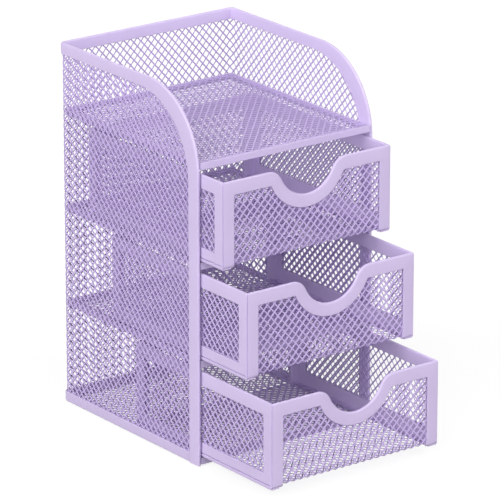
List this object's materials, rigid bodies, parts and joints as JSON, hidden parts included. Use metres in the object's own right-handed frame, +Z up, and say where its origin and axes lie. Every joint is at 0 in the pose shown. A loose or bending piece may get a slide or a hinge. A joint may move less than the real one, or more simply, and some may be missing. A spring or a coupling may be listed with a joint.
{
  "type": "desktop mini drawers",
  "caption": "Lavender metal-mesh desktop drawer organizer: an open tray over stacked pull-out mesh drawers with scooped front rims.",
  "frame": {"origin": "middle of the casing's footprint, on the surface it stands on", "axes": "+Z up, -Y towards the front where the drawers open, +X to the right seen from the front"},
  "size_m": [0.125, 0.2005, 0.221],
  "materials": {
    "painted_band": "satin powder coat on folded sheet steel",
    "painted_mesh": "satin powder coat on expanded metal mesh"
  },
  "bodies": {
    "casing": {"side_mesh_left": "painted_mesh", "side_mesh_right": "painted_mesh", "back_mesh": "painted_mesh", "side_edging_left": "painted_band", "side_edging_right": "painted_band", "back_edging": "painted_band", "foot_band": "painted_band", "base_frame": "painted_band", "base_mesh": "painted_mesh", "lower_shelf_frame": "painted_band", "lower_shelf_mesh": "painted_mesh", "upper_shelf_frame": "painted_band", "upper_shelf_mesh": "painted_mesh", "tray_frame": "painted_band", "tray_mesh": "painted_mesh"},
    "top_drawer": {"top_drawer_front_mesh": "painted_mesh", "top_drawer_back_mesh": "painted_mesh", "top_drawer_left_mesh": "painted_mesh", "top_drawer_right_mesh": "painted_mesh", "top_drawer_floor_mesh": "painted_mesh", "top_drawer_rim": "painted_band", "top_drawer_left_sill": "painted_band", "top_drawer_right_sill": "painted_band", "top_drawer_front_left_corner": "painted_band", "top_drawer_front_right_corner": "painted_band", "top_drawer_rear_right_corner": "painted_band", "top_drawer_rear_left_corner": "painted_band"},
    "middle_drawer": {"middle_drawer_front_mesh": "painted_mesh", "middle_drawer_back_mesh": "painted_mesh", "middle_drawer_left_mesh": "painted_mesh", "middle_drawer_right_mesh": "painted_mesh", "middle_drawer_floor_mesh": "painted_mesh", "middle_drawer_rim": "painted_band", "middle_drawer_left_sill": "painted_band", "middle_drawer_right_sill": "painted_band", "middle_drawer_front_left_corner": "painted_band", "middle_drawer_front_right_corner": "painted_band", "middle_drawer_rear_right_corner": "painted_band", "middle_drawer_rear_left_corner": "painted_band"},
    "bottom_drawer": {"bottom_drawer_front_mesh": "painted_mesh", "bottom_drawer_back_mesh": "painted_mesh", "bottom_drawer_left_mesh": "painted_mesh", "bottom_drawer_right_mesh": "painted_mesh", "bottom_drawer_floor_mesh": "painted_mesh", "bottom_drawer_rim": "painted_band", "bottom_drawer_left_sill": "painted_band", "bottom_drawer_right_sill": "painted_band", "bottom_drawer_front_left_corner": "painted_band", "bottom_drawer_front_right_corner": "painted_band", "bottom_drawer_rear_right_corner": "painted_band", "bottom_drawer_rear_left_corner": "painted_band"}
  },
  "joints": [
    {"name": "top_drawer_slide", "type": "slide", "parent": "casing", "child": "top_drawer", "axis": [0, -1, 0], "range_m": [-0.02, 0.075]},
    {"name": "middle_drawer_slide", "type": "slide", "parent": "casing", "child": "middle_drawer", "axis": [0, -1, 0], "range_m": [-0.0425, 0.0525]},
    {"name": "bottom_drawer_slide", "type": "slide", "parent": "casing", "child": "bottom_drawer", "axis": [0, -1, 0], "range_m": [-0.0655, 0.0295]}
  ]
}
